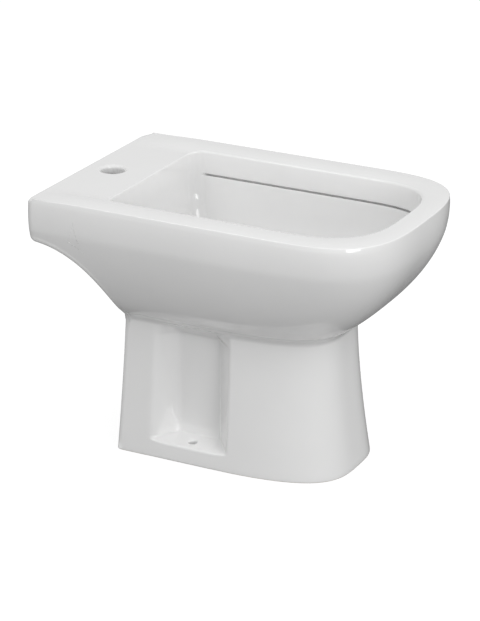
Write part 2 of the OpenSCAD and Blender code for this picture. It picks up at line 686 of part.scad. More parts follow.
module tail_washer() {
    color("dimgray") at_drain(tail_top) tube(tail_flange_d, pipe_d + 2 * face_gap, tail_washer_t);
}
module tailpiece() {
    color("lightgray") at_drain(0) difference() {
        union() {
            translate([0, 0, tail_top - tail_flange_t])
                cylinder(d = tail_flange_d, h = tail_flange_t, $fn = 72);
            translate([0, 0, dip_end]) cylinder(d = pipe_d, h = tail_top - dip_end - into, $fn = 72);
        }
        translate([0, 0, dip_end - past])
            cylinder(d = pipe_d - 2 * pipe_t, h = tail_top - dip_end + 2 * past, $fn = 72);
    }
}
// A union nut: bored for the thread, with a lip round the pipe and ribs for the grip
module union_nut(inner, h, lip_first) {
    outer = inner + 2 * nut_wall;
    difference() {
        union() {
            cylinder(d = outer, h = h, $fn = 72);
            for (a = [0:30:330]) rotate(a) translate([outer / 2, 0, past])
                cylinder(d = nut_rib_d, h = h - 2 * past, $fn = 24);
        }
        translate([0, 0, -past]) cylinder(d = pipe_d + 2 * pipe_gap, h = h + 2 * past, $fn = 72);
        translate([0, 0, lip_first ? nut_lip : -nut_lip]) cylinder(d = inner, h = h, $fn = 72);
    }
}
module neck_nut() {
    color("whitesmoke") union_nut(neck_d + 2 * thread_gap, neck_nut_h, false);
}
module neck_seal() {
    color("dimgray") tube(neck_d - 2 * seal_gap, pipe_d + 2 * pipe_gap, seal_h);
}
module at_outlet(y) translate([0, y, outlet_z]) rotate([-90, 0, 0]) children();
module tail_nut() {
    color("lightgray") at_drain(tail_nut_z) union_nut(thread_d + 2 * thread_gap, tail_nut_h, true);
}
module trap_inlet_nut() {
    color("whitesmoke") at_drain(inlet_nut_z) neck_nut();
}
module trap_inlet_seal() {
    color("dimgray") at_drain(neck_top) neck_seal();
}
module trap_body() {
    color("whitesmoke") difference() {
        union() {
            at_drain(trap_bottom) cylinder(d = trap_d, h = trap_body_h, $fn = 72);
            at_drain(trap_top - into) cylinder(d = neck_d, h = neck_top - trap_top + into, $fn = 72);
            at_outlet(drain_y) cylinder(d = neck_d, h = stub_end - drain_y, $fn = 72);
        }
        at_drain(trap_bottom - past)
            cylinder(d = trap_d - 2 * trap_t, h = trap_body_h - trap_t + past, $fn = 72);
        at_drain(trap_bottom)
            cylinder(d = pipe_d + 2 * pipe_gap, h = neck_top - trap_bottom + past, $fn = 72);
        at_outlet(drain_y) cylinder(d = pipe_d - 2 * pipe_t, h = stub_end - drain_y + past, $fn = 72);
        at_outlet(pipe_start) cylinder(d = pipe_d + 2 * pipe_gap, h = socket_l + past, $fn = 72);
    }
}
module trap_cup() {
    color("whitesmoke") at_drain(cup_z) difference() {
        union() {
            cylinder(d = cup_d - 2 * cup_foot_inset, h = cup_foot_h, $fn = 72);
            translate([0, 0, cup_foot_h - into])
                cylinder(d = cup_d, h = trap_cup_h - cup_foot_h + into, $fn = 72);
            for (a = [0:30:330]) rotate(a) translate([cup_d / 2, 0, cup_foot_h])
                cylinder(d = cup_rib_d, h = trap_cup_h - cup_foot_h - 2, $fn = 24);
        }
        translate([0, 0, cup_ledge]) cylinder(d = trap_d + 2 * thread_gap, h = trap_cup_h, $fn = 72);
        translate([0, 0, trap_t]) cylinder(d = trap_d - 2 * trap_t, h = trap_cup_h, $fn = 72);
    }
}
module trap_cup_seal() {
    color("dimgray") at_drain(cup_z + cup_ledge)
        tube(trap_d - 2 * seal_gap, trap_d - 2 * trap_t + 2 * seal_gap, cup_seal_t);
}
module trap_outlet_seal() {
    color("dimgray") at_outlet(stub_end) neck_seal();
}
module trap_outlet_nut() {
    color("whitesmoke") at_outlet(stub_end + seal_h + nut_lip - neck_nut_h) neck_nut();
}
// Outlet pipe: its inner end, a spigot in the trap's socket and under the nut, is drawn in a little
module outlet_pipe() {
    pipe_l = back_y - outlet_back - pipe_start;
    spigot_l = stub_end + seal_h + nut_lip + spigot_past - pipe_start;
    color("whitesmoke") at_outlet(pipe_start) difference() {
        union() {
            translate([0, 0, spigot_l]) cylinder(d = pipe_d, h = pipe_l - spigot_l, $fn = 72);
            cylinder(d = pipe_d - 2 * spigot_step, h = spigot_l + into, $fn = 72);
        }
        translate([0, 0, -past]) cylinder(d = pipe_d - 2 * pipe_t, h = pipe_l + 2 * past, $fn = 72);
    }
}

rim_and_deck();
basin();
body_shell();
waste_body();
top_gasket();
bottom_gasket();
slip_washer();
back_nut();
waste_plug();
plug_seal();
plunger();
return_spring();
cartridge_housing();
tail_nut();
tail_washer();
tailpiece();
trap_inlet_nut();
trap_inlet_seal();
trap_body();
trap_cup();
trap_cup_seal();
trap_outlet_nut();
trap_outlet_seal();
outlet_pipe();
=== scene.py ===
import math

import bmesh
import bpy
import numpy as np
from mathutils import Matrix, Vector


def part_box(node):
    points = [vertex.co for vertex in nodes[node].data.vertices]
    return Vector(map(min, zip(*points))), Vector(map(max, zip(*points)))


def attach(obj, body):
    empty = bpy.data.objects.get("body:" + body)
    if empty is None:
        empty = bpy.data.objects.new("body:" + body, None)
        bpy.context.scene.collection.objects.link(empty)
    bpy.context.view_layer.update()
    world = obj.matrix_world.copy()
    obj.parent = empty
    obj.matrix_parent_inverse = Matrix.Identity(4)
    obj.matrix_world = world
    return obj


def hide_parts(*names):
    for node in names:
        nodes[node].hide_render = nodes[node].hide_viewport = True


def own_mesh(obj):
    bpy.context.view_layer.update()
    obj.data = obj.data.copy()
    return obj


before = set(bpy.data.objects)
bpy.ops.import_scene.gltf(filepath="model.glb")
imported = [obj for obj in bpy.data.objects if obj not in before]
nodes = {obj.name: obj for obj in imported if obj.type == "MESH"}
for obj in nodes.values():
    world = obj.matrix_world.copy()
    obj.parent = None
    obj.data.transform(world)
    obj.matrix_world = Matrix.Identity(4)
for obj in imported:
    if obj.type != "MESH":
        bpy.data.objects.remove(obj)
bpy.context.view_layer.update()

# ---------------------------------------------------------------------------------------------
# China body. One hollow casting in vitreous china, slip-cast in a plaster mould and drained, so
# its walls are about 10 mm thick and every edge is a soft round. It is fired with a glossy white
# glaze that stops short of the foot it stands on.

castings = ("rim_and_deck", "basin", "body_shell")
high = np.array([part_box(name) for name in castings])[:, 1].max(axis=0)
half_width = 0.181
body_length = 0.5349
wall_face = high[1]
nose_tip = wall_face - body_length
crest = high[2]

# Rim, tap deck and back apron. In plan the nose is a superellipse that starts at the shoulder. The
# rim's roll ends roll_in from the widest line, and the sides lean in by side_lean up to its edge.
nose_run = 0.167
nose_square = 3.35
shoulder = nose_tip + nose_run
rim_side = 0.052
rim_nose = 0.036
roll_in = 0.028
roll_drop = 0.0032
roll_round = 0.0016
side_lean = 0.008
lean_height = 0.048
lean_power = 1.2
nose_lean = 0.35  # the nose's share of the lean
roll_end = math.radians(3)
roll_across = (roll_in - side_lean) / math.cos(roll_end)
rim_fall = 0.0034  # from the crest to the basin's edge
deck_drop = 0.0057  # from the crest to the deck
deck_depth = 0.103
deck_thickness = 0.0133
deck_corner = 0.012
deck_edge = 0.003  # the round between deck and apron
apron_height = 0.0675
apron_thickness = 0.012
deck_under = crest - deck_drop - deck_thickness
apron_low = crest - apron_height
tap_hole_radius = 0.0175
tap_from_wall = 0.041

# Basin, its hanging skirt and its drain. A channel runs up behind the skirt, and a narrow slot is
# left between the skirt's lower edge and the basin's wall.
basin_edge = 0.004
deck_front_edge = 0.002
basin_corner = 0.020
basin_half = half_width - rim_side
basin_nose = nose_tip + rim_nose
basin_back = wall_face - deck_depth
shoulder_step = 0.004
basin_shoulder = shoulder + shoulder_step
skirt_height = 0.038
skirt_low = crest - skirt_height
skirt_thickness = 0.005
channel_height = 0.006
channel_top = skirt_low + channel_height
basin_setback = 0.0075  # the channel's back wall, outwards from the skirt's face
slot = 0.003
slot_floor = skirt_low - slot
wall_setback = 0.0008  # the basin's wall, outwards from the skirt's face
wall_round = 0.0016
bowl_top = slot_floor - wall_round
bowl_fullness = 2.05  # power of the superellipse from wall to drain
drain_y = 0.040
drain_top = 0.232
drain_radius = 0.023
seat_depth = 0.005
seat_radius = 0.0325
seat_round = 0.001
boss_height = 0.026
boss_low = drain_top - boss_height
wall = 0.010
boss_radius = 0.0435

# Bowl and pedestal. The outside draws in from the bulge to the waist and flares again to the foot,
# and an arch opens the back between the pedestal and the apron.
waist = 0.208
waist_half = 0.096
foot_half = 0.111
waist_undercut, foot_undercut = 0.1165, 0.0945
waist_front = nose_tip + waist_undercut
foot_front = nose_tip + foot_undercut
waist_nose_run = 0.214
waist_shoulder = waist_front + waist_nose_run
waist_recess, foot_recess = 0.1125, 0.105
waist_back = wall_face - waist_recess
foot_back = wall_face - foot_recess
side_top = crest - roll_drop
bulge_drop = 0.0095
bulge = crest - bulge_drop
side_swell = (1.48, 1.51)  # powers of the curve from waist to bulge
nose_swell = (2.1, 1.05)
foot_flare = 1.55  # power of the curve from waist to foot
foot_round = 0.0025
lip = 0.009  # how far the open lower edge rounds over
apron_rise = 0.004  # of the apron's lower edge, from the corner inwards
corner_sink = 0.002
arch_rise = 0.1145
arch_low = apron_low - arch_rise
arch_length = wall_face - waist_back
arch_stop = math.acos(deck_corner / (arch_length + lip))
arch_top = arch_low + (arch_rise + lip) * math.sin(arch_stop)

# Side niches with their floor fixing holes. Depths are given as the half width left at the niche,
# places along the side as y.
niche_half = 0.071
niche_front = -0.014
niche_slope = 0.028
niche_rear = 0.110
niche_sweep = 0.035
sill = 0.025
sill_rise = 0.005
niche_top = 0.184
niche_head = waist - niche_top
fix_x = 0.090
fix_y = 0.048
fix_radius = 0.0055


def mix(a, b, share):
    """The value a share of the way from a to b."""
    return a + (b - a) * share


def ease(t):
    """Smooth step from 0 to 1: three squares less two cubes."""
    t = np.clip(t, 0, 1)
    return t * t * (3 - 2 * t)


def ramp(t, soft):
    """A straight ramp from 0 to 1 whose two corners are rounded, by averaging it over soft each way."""
    def area(x):
        return np.where(x < 0, 0, np.where(x < 1, x * x / 2, x - 0.5))

    return (area(t + soft) - area(t - soft)) / (2 * soft)


def swell(z, powers):
    """Share of the way out from waist to rim at height z: a superellipse quarter with two powers."""
    h = np.clip((z - waist) / (bulge - waist), 0, 1)
    return (1 - (1 - h) ** powers[0]) ** (1 / powers[1])


def flare(z):
    """Share of the way out from waist to foot at height z: a power curve."""
    return np.clip(1 - z / waist, 0, 1) ** foot_flare


crease_reach = 0.008
waist_soft = np.linspace(-crease_reach, crease_reach, 17)


def softened(profile, z):
    """A profile of height with its crease at the waist rounded, as the mean over a short window."""
    z = np.asarray(z, float)
    return np.mean([profile(z + d) for d in waist_soft], axis=0)


def lean(z):
    """How far the side leans back in towards the rolled edge: a power of height."""
    return side_lean * np.clip((z - side_top + lean_height) / lean_height, 0, 1) ** lean_power


def drawn_in(at_rim, at_waist, at_foot, powers):
    """A distance as a function of height, drawn in from rim to waist and let out again to the foot."""
    return lambda h: np.where(h > waist, mix(at_waist, at_rim, swell(h, powers)),
                              mix(at_waist, at_foot, flare(h)))


def side_half(z):
    """Half width of the body at height z."""
    return softened(drawn_in(half_width, waist_half, foot_half, side_swell), z) - lean(z)


def front_at(z):
    """Where the middle of the front is at height z."""
    return softened(drawn_in(nose_tip, waist_front, foot_front, nose_swell), z) + nose_lean * lean(z)


def shoulder_at(z):
    """Where the curved front meets the straight side at height z."""
    return mix(waist_shoulder, shoulder, np.clip((z - waist) / (bulge - waist), 0, 1))


def side_end(z):
    """Where the side wall ends at the back at height z, a lip short of the open edge: upright to the
    arch, then a quarter ellipse, then the back corner."""
    rise = np.clip((z - arch_low) / (arch_rise + lip), 0, 1)
    arch = wall_face - (arch_length + lip) * np.sqrt(1 - rise ** 2)
    upright = mix(waist_back, foot_back, 1 - z / arch_low) - lip
    return np.where(z >= arch_top, wall_face - deck_corner, np.where(z > arch_low, arch, upright))


crown_slope = 2 * rim_fall / (rim_side - roll_in)
crease = 2 * (deck_drop - rim_fall) / crown_slope


def crown(inset):
    """Fall of the top below the crest, by the distance in from the side. The roll is a parabola with a
    small quarter round at its edge, the band a parabola and the deck one that runs out level."""
    bend = (roll_drop - roll_round) * np.clip((roll_in - inset) / (roll_in - side_lean), 0, 1) ** 2
    edge = np.clip(1 - (inset - side_lean) / roll_round, 0, 1)
    roll = bend + roll_round * (1 - np.sqrt(1 - edge ** 2))
    band = rim_fall * ((inset - roll_in) / (rim_side - roll_in)) ** 2
    d = np.clip(inset - rim_side, 0, crease)
    deck = rim_fall + crown_slope * d * (1 - d / (2 * crease))
    return np.where(inset < roll_in, roll, np.where(inset < rim_side, band, deck))


def top_fall(inset, y):
    """Fall of the top, running from the crown at the basin to the deck's level at the wall edge by the
    square of the distance. The outer roll keeps its own drop."""
    plain = crown(inset)
    low_fall = deck_drop + np.where(inset < roll_in, (roll_drop - deck_drop) * (plain / roll_drop) ** 2, 0)
    return mix(plain, low_fall, np.clip((y - basin_back) / deck_depth, 0, 1) ** 2)


# Roundness of the ramps' corners, as a share of each ramp's length
niche_edge = 0.06
sill_edge = 0.1
niche_ceiling = 0.08


def niche(y, z, grow):
    """Depth share of the side niche: a straight slope in front, a soft sweep behind, a short ramp at
    the sill and another at the head. grow widens it for the inner skin."""
    front = ramp((y - niche_front + grow) / niche_slope, niche_edge)
    rear = ease((niche_rear + grow - y) / niche_sweep)
    floor = 1 if grow > 0 else ramp((z - sill) / sill_rise, sill_edge)
    head = ramp((niche_top + niche_head + grow - z) / niche_head, niche_ceiling)
    return front * rear * floor * head


# Stations round half the plan, from the nose to the middle of the back: each has its kind, its place
# along that kind, and what the rear fan needs to end along the floor, the back edge and the arch
NOSE, SIDE, FAN, CORNER, BACK = range(5)
t = np.linspace(0, 1, 45)[:-1]
gather = 1.675
nose_share = t ** gather / (t ** gather + (1 - t) ** gather)
slope_reach = 0.022
fix_window = 0.0105
sweep_start = 0.070
side_y = np.concatenate([
    np.linspace(shoulder, -slope_reach, 13)[:-1],
    np.linspace(-slope_reach, slope_reach, 23)[:-1],
    np.linspace(slope_reach, fix_y - fix_window, 5)[:-1],
    np.linspace(fix_y - fix_window, fix_y + fix_window, 8)[:-1],
    np.linspace(fix_y + fix_window, sweep_start, 4)[:-1],
    np.linspace(sweep_start, niche_rear, 15)])
floor_t, turn_t = np.linspace(0, 1, 7)[1:], np.linspace(0, 1, 7)[1:]
edge_t, arch_t = np.linspace(0, 1, 17)[1:], np.linspace(0, 1, 25)[1:]
fan_count = len(floor_t) + len(turn_t) + len(edge_t) + len(arch_t)
turn_start, edge_start, arch_start = 0.12, 0.15, 0.44
fan_top = np.concatenate([mix(0, turn_start, floor_t), mix(turn_start, edge_start, turn_t),
                          mix(edge_start, arch_start, edge_t), mix(arch_start, 1, arch_t)])
fan_end = np.concatenate([floor_t, np.ones(fan_count - len(floor_t))])
arch_a = arch_stop * arch_t
fan_z = np.concatenate([np.full(len(floor_t) + len(turn_t), foot_round), mix(foot_round, arch_low, edge_t),
                        arch_low + (arch_rise + lip) * np.sin(arch_a)])
turn_a = np.concatenate([0 * floor_t, math.pi / 2 * turn_t, math.pi / 2 + 0 * edge_t])
fan_dy = np.concatenate([lip * np.sin(turn_a), lip * np.cos(arch_a)])
fan_dz = np.concatenate([-foot_round * np.cos(turn_a), -lip * np.sin(arch_a)])
corner_t = np.linspace(0, 1, 13)[1:]
tap_start = 0.75
back_t = np.concatenate([np.linspace(0, tap_start, 12)[1:], np.linspace(tap_start, 1, 11)[1:]])
top_count = len(corner_t) + len(back_t)

kind = np.repeat([NOSE, SIDE, FAN, CORNER, BACK],
                 [len(nose_share), len(side_y), fan_count, len(corner_t), len(back_t)])
place = np.concatenate([nose_share, side_y, fan_top, corner_t, back_t])
plain = len(nose_share) + len(side_y)
end_share = np.concatenate([np.zeros(plain), fan_end, np.ones(top_count)])
apron_end = arch_top + apron_rise * (1 - np.cos(np.append(corner_t, 1 + 0 * back_t) * math.pi / 2))
end_z = np.concatenate([np.full(plain, foot_round), fan_z, apron_end])
run_y = np.concatenate([np.zeros(plain), fan_dy, np.zeros(top_count)])
run_z = np.concatenate([np.full(plain, -foot_round), fan_dz, np.full(top_count, -lip)])
foot_square, edge_square = 8.0, 2.0
squareness = np.concatenate([np.full(plain + len(floor_t), foot_square),
                             mix(foot_square, edge_square, turn_t),
                             np.full(len(edge_t) + len(arch_t) + top_count, edge_square)])
halves = len(kind)
on_side = kind == SIDE
front_part = kind < FAN
share_in = np.where(kind == NOSE, ease(place), 1.0)


def outline(w, tip, straight, back, r, share):
    """Plan outline at every station: a superellipse nose, the straight side, a round corner and the
    straight back. All arguments may vary with height and station."""
    w, tip, straight, back, r, share = np.broadcast_arrays(w, tip, straight, back, r, share,
                                                           np.zeros(halves))[:6]
    lead = straight - tip
    power = 2 / nose_square
    reach = np.arccos(np.clip((straight - shoulder) / lead, 0, 1) ** (1 / power))
    a = np.clip(place, 0, 1) * reach
    ahead = np.clip((straight - place) / lead, 0, 1)
    turn = place * math.pi / 2
    x = np.select([kind == NOSE, on_side, kind == FAN, kind == CORNER],
                  [w * np.sin(a) ** power, w * (1 - ahead ** nose_square) ** (1 / nose_square), w,
                   w - r + r * np.cos(turn)], (w - r) * (1 - place))
    y = np.select([kind == NOSE, on_side, kind == FAN, kind == CORNER],
                  [straight - lead * np.cos(a) ** power, place + 0 * w, mix(niche_rear, back - r, share),
                   back - r + r * np.sin(turn)], back)
    return x, y


def spread(x, y, z):
    """One array of points, rings by stations by three."""
    return np.stack(np.broadcast_arrays(x, y, z), axis=-1)


def roll_rings(turn):
    """The rolled outer edge of the rim, from level at turn 90 degrees to the side's lean."""
    turn = np.radians(turn)[:, None]
    across = math.cos(roll_end) - np.cos(turn)
    inset = side_lean + roll_across * across
    x, y = outline(half_width - inset, nose_tip + inset - (1 - nose_lean) * side_lean, shoulder,
                   wall_face - deck_edge * across, deck_corner, place)
    sink = np.select([kind == CORNER, kind == BACK],
                     [place * deck_edge + np.sin(math.pi * place) * corner_sink, deck_edge], 0.0)
    back_fall = sink * (1 - np.sin(turn))
    return spread(x, y, crest - top_fall(np.where(front_part, inset, half_width - x), y) - back_fall)


edge_strip = 0.012
rim_line = roll_rings(np.degrees([roll_end]))[0, :, 2]


def fitted(z, top, plain_top):
    """Height at each station for a height on the plain side: what is above the waist keeps above it or
    above the open edge, and what is below shares what is left."""
    knee = np.maximum(waist, end_z + edge_strip)
    above = mix(knee, top, (z - waist) / (plain_top - waist))
    below = mix(end_z, knee, (z - foot_round) / (waist - foot_round))
    return np.where(front_part, z, np.where(z >= waist, above, below))


def fan_share(z, top):
    """How far back a fan station has run at a height, as a share of the way to the side wall's end. Its
    line keeps to the wall's end low down, and runs straight to its own end high up in the arch."""
    down = (top - z) / (top - end_z)
    start, stop = place * (side_end(top) - niche_rear), end_share * (side_end(end_z) - niche_rear)
    straight = mix(start, stop, down) / (side_end(z) - niche_rear)
    return mix(mix(place, end_share, down), straight, ease(2 * (end_z - arch_low) / (arch_top - arch_low)))


def outer_rings(heights):
    """The outer skin: the plan outline of each height, drawn in at the niche."""
    z = fitted(heights[:, None], rim_line, side_top)
    x, y = outline(side_half(z), front_at(z), shoulder_at(z), side_end(z) + deck_corner, deck_corner,
                   fan_share(z, rim_line))
    depth = np.where(on_side, niche(y, z, 0), 0)
    return spread(mix(x, np.minimum(x, niche_half), depth), y, z)


inner_corner = 0.004
niche_cover = wall + 0.002
waist_extra, waist_above, waist_reach = 0.35, 0.016, 0.040  # the wall's thicker belt at the waist


def inner_rings(heights):
    """The inner skin, a wall inside the outer one and a little more just above the waist."""
    z = fitted(heights[:, None], deck_under, deck_under)
    t = wall * (1 + waist_extra * np.clip(1 - np.abs(z - waist - waist_above) / waist_reach, 0, 1))
    back = np.minimum(side_end(z), wall_face - apron_thickness - inner_corner) + inner_corner
    x, y = outline(side_half(z) - t, front_at(z) + t, shoulder_at(z), back, inner_corner,
                   fan_share(z, deck_under))
    depth = np.where(on_side | (kind == FAN), niche(y, z, niche_cover), 0)
    return spread(mix(x, niche_half - wall, depth), y, z)


def lip_rings(turn):
    """The open lower edge: a superellipse from the outer skin to the inner one, squarer at the foot."""
    turn = np.radians(turn)[:, None]
    across = (1 - np.sign(np.cos(turn)) * np.abs(np.cos(turn)) ** (2 / squareness)) / 2
    out = np.abs(np.sin(turn)) ** (2 / squareness)
    low = np.array([foot_round])
    p = mix(outer_rings(low), inner_rings(low), across[..., None])
    return p + np.stack([0 * out, run_y * out, run_z * out], axis=-1)


# Shares of the skirt's and the wall's thickness: less at the nose, and no skirt past the corner
skirt_at_nose, wall_at_nose = 0.6, 0.8
run_out = 9
skirt_share = np.select([kind == NOSE, front_part | (kind == FAN), kind == CORNER],
                        [mix(skirt_at_nose, 1, ease(place)), 1.0, np.clip(1 - run_out * place, 0, 1)], 0.0)
wall_share = np.where(kind == NOSE, mix(wall_at_nose, 1, ease(place)), 1.0)
rim_band = mix(rim_nose, rim_side, share_in)


def basin_outline(out):
    """Plan outline of the basin's opening, grown outwards."""
    return outline(basin_half + out, basin_nose - out, basin_shoulder, basin_back + out,
                   basin_corner + out, place)


edge_radius = mix(basin_edge, deck_front_edge,
                  np.select([kind == CORNER, kind == BACK], [ease(place), 1.0], 0.0))
edge_x, edge_y = basin_outline(edge_radius)
edge_fall = top_fall(np.where(front_part, rim_band - edge_radius, half_width - edge_x), edge_y)


def edge_rings(turn):
    """The basin's top edge: a quarter round from upright at turn 0 to level at 90 degrees."""
    turn = np.radians(turn)[:, None]
    x, y = basin_outline(edge_radius * (1 - np.cos(turn)))
    return spread(x, y, crest - edge_fall - edge_radius * (1 - np.sin(turn)))


def band_rings(share):
    """The top of the rim and the tap deck, straight across in plan and crowned in height."""
    share = share[:, None]
    a, b = edge_rings(np.array([90.0])), roll_rings(np.array([90.0]))
    p = mix(a, b, share[..., None])
    inset = np.where(front_part, mix(rim_band - edge_radius, roll_in, share), half_width - p[..., 0])
    return spread(p[..., 0], p[..., 1], crest - top_fall(inset, p[..., 1]))


# Section of the skirt, as (distance out, height): the bead, the channel behind it, the slot's floor
# from the channel's wall forward, and the round down into the basin's wall
half_t = skirt_thickness / 2
bead_path = [(half_t * (1 - math.cos(a)), skirt_low + half_t * (1 - math.sin(a)))
             for a in np.radians(np.linspace(0, 180, 13))]
channel_path = [(skirt_thickness + out, channel_top - down) for out, down in
                ((0, 0.0016), (0.0002, 0.0006), (0.0006, 0.0001), (0.0014, 0.0001), (0.0022, 0.0006))]
channel_path += [(basin_setback, channel_top - down) for down in (0.0016, 0.004)]
floor_path = [(basin_setback - forward, slot_floor + up) for forward, up in
              ((0, 0.0014), (0.0004, 0.0004), (0.0014, 0), (0.0034, -0.0001))]
wall_path = [(wall_setback + out, slot_floor - down) for out, down in
             ((0.0030, 0), (0.0012, 0), (0.0005, 0.0002), (0.0001, 0.0006), (0, 0.0012))]
skirt_out, skirt_z = np.array(bead_path + channel_path + floor_path + wall_path).T


def skirt_rings():
    """The skirt that hangs inside the rim: a bead along its lower edge, up its back, over the narrow
    channel behind it, down to the channel's floor and forward to the basin's wall, which leaves a
    slot under the skirt. Where there is no skirt it is a plain wall."""
    rows = np.arange(1, len(skirt_out) + 1)[:, None] / (len(skirt_out) + 1)
    x, y = basin_outline(skirt_out[:, None] * skirt_share)
    plain_wall = mix(skirt_low + half_t, bowl_top, rows)
    return spread(x, y, mix(plain_wall, skirt_z[:, None], np.where(kind == NOSE, 1, skirt_share)))


mouth_x, mouth_y = (v[0] for v in basin_outline(np.zeros((1, 1))))
bearing = np.arctan2(mouth_x, drain_y - mouth_y)


def round_rings(path):
    """Rings round the drain, as (radius, height)."""
    path = np.asarray(path)
    r = path[:, :1]
    return spread(r * np.sin(bearing), drain_y - r * np.cos(bearing), path[:, 1:])


def bowl_rings(turn, out):
    """The bowl, from its upright wall at turn 0 to the round of the drain at 90 degrees: plan and
    height each follow a superellipse. out is the thickness outside the glazed face."""
    turn = np.radians(turn)[:, None]
    x, y = basin_outline((basin_setback if out else wall_setback) * skirt_share + out * wall_share)
    r = boss_radius if out else seat_radius + seat_round
    across = np.abs(np.cos(turn)) ** (2 / bowl_fullness)
    down = np.abs(np.sin(turn)) ** (2 / bowl_fullness)
    return spread(mix(r * np.sin(bearing), x, across), mix(drain_y - r * np.cos(bearing), y, across),
                  mix(bowl_top, drain_top - out, down))


# Heights of the rings down the outside and up the inside, closest where the surface turns: below the
# rolled edge, at the crease of the waist, at the niche's head and on its sill
edge_zone = 0.024
belly = 0.93 * (side_top - waist)
crease_above, crease_below, crease_clear = 0.011, 0.005, 0.007
head_under, head_clear = 0.002, 0.010
sill_clear, sill_near, sill_under = 0.008, 0.003, 0.001
sill_top = sill + sill_rise
outer_heights = np.concatenate([
    side_top - np.linspace(0, edge_zone, 10)[1:],
    side_top - np.linspace(edge_zone, belly, 27)[1:-1],
    waist + np.linspace(crease_above, -crease_below, 17),
    np.linspace(waist - crease_clear, niche_top - head_under, 15),
    np.linspace(niche_top - head_clear, sill_top + sill_clear, 14)[:-1],
    np.linspace(sill_top + sill_near, sill_top, 3)[:-1],
    np.linspace(sill_top, sill, 14),
    np.linspace(sill - sill_under, foot_round, 8)])
hollow_crease, hollow_clear = 0.006, 0.004
inner_heights = np.concatenate([
    np.linspace(foot_round, niche_top, 10),
    np.linspace(niche_top + niche_cover, waist + hollow_crease, 5),
    np.linspace(waist + niche_cover + hollow_clear, deck_under, 12)])
hollow_x, hollow_y = basin_outline(basin_setback * skirt_share + wall * wall_share)
inner_top = inner_rings(np.array([deck_under]))
hollow_top = spread(hollow_x, hollow_y, np.full((1, halves), deck_under))
band_share = np.linspace(0, 1, 23)
under_share = np.linspace(0, 1, 21)
glaze_break = 0.0004
boss_edge = 0.001
seat_level = drain_top - seat_depth
ring_groups = [
    ("drain", round_rings([
        (drain_radius, boss_low + boss_edge), (drain_radius, seat_level - glaze_break),
        (drain_radius + glaze_break, seat_level), (seat_radius - glaze_break, seat_level),
        (seat_radius, seat_level + glaze_break), (seat_radius, drain_top - seat_round)])),
    ("bowl", bowl_rings(np.linspace(90, 3, 40), 0)),
    ("skirt", skirt_rings()[::-1]),
    ("edge", edge_rings(np.linspace(0, 90, 9)[:-1])),
    ("band", band_rings(band_share)),
    ("roll", roll_rings(np.linspace(90, math.degrees(roll_end), 29)[1:])),
    ("outer", outer_rings(outer_heights)),
    ("lip", lip_rings(np.linspace(0, 180, 19)[1:-1])),
    ("inner", inner_rings(inner_heights)),
    ("under", mix(inner_top, hollow_top, under_share[1:, None, None])),
    ("bowl_back", bowl_rings(np.linspace(6, 90, 16), wall)),
    ("boss", round_rings([(boss_radius, boss_low + boss_edge), (boss_radius - boss_edge, boss_low),
                          (drain_radius + boss_edge, boss_low)])),
]
first_row = {}
rows = 0
for name, rings in ring_groups:
    first_row[name] = rows
    rows += len(rings)
half = np.concatenate([rings for name, rings in ring_groups])
points = np.concatenate([half, half[:, -2:0:-1] * [-1, 1, 1]], axis=1)
columns = points.shape[1]
points = points.reshape(-1, 3)
row, column = np.mgrid[0:rows, 0:columns]
next_row, next_column = (row + 1) % rows, (column + 1) % columns
quads = np.stack([row * columns + column, row * columns + next_column,
                  next_row * columns + next_column, next_row * columns + column], axis=-1)
open_cell = np.ones((rows, columns), bool)


def opening(first, last, left, right):
    """Takes a window of the grid out, and returns the points round it in order."""
    across = np.arange(left, right + 1) % columns
    open_cell[first:last, across[:-1]] = False
    down = np.arange(first, last + 1)
    return np.concatenate([first * columns + across[:-1], down[:-1] * columns + across[-1],
                           last * columns + across[:0:-1], down[:0:-1] * columns + across[0]])


def plane_through(p):
    """Height over the plane that fits a set of points, as a function of x and y."""
    fit = np.linalg.lstsq(np.c_[p[:, :2], np.ones(len(p))], p[:, 2], rcond=None)[0]
    return lambda x, y: fit[0] * x + fit[1] * y + fit[2]


def drilled(upper, lower, centre, profile, steps):
    """Joins two openings by a round hole. Rings close in from the upper opening to a circle, follow the
    profile of (radius, depth share) down, and open out again to the lower opening."""
    a, b = points[upper], points[lower]
    angle = np.arctan2(a[:, 1] - centre[1], a[:, 0] - centre[0])
    below = np.arctan2(b[:, 1] - centre[1], b[:, 0] - centre[0])
    fits = [np.abs(np.exp(1j * np.roll(order, k)) - np.exp(1j * angle)).sum()
            for order in (below, below[::-1]) for k in range(len(below))]
    best = int(np.argmin(fits))
    lower = np.roll(lower if best < len(below) else lower[::-1], best % len(below))
    b = points[lower]
    top, bottom = plane_through(a), plane_through(b)
    radius, depth = np.array(profile).T[..., None]
    x, y = centre[0] + radius * np.cos(angle), centre[1] + radius * np.sin(angle)
    wall_loops = spread(x, y, mix(top(x, y), bottom(x, y), depth))
    share = np.linspace(0, 1, steps + 1)[1:-1, None, None]
    loops = np.concatenate([mix(a, wall_loops[0], share), wall_loops, mix(wall_loops[-1], b, share)])
    count, around = loops.shape[:2]
    inner = len(points) + np.arange(count * around).reshape(count, around)
    index = np.concatenate([upper[None], inner, lower[None]])
    after = np.roll(index, -1, axis=1)
    faces = np.stack([index[:-1], after[:-1], after[1:], index[1:]], axis=-1)
    return loops.reshape(-1, 3), faces.reshape(-1, 4)


def rows_of(name, first, last):
    """Rows of the grid from a group's ring numbers."""
    return first_row[name] + first, first_row[name] + last


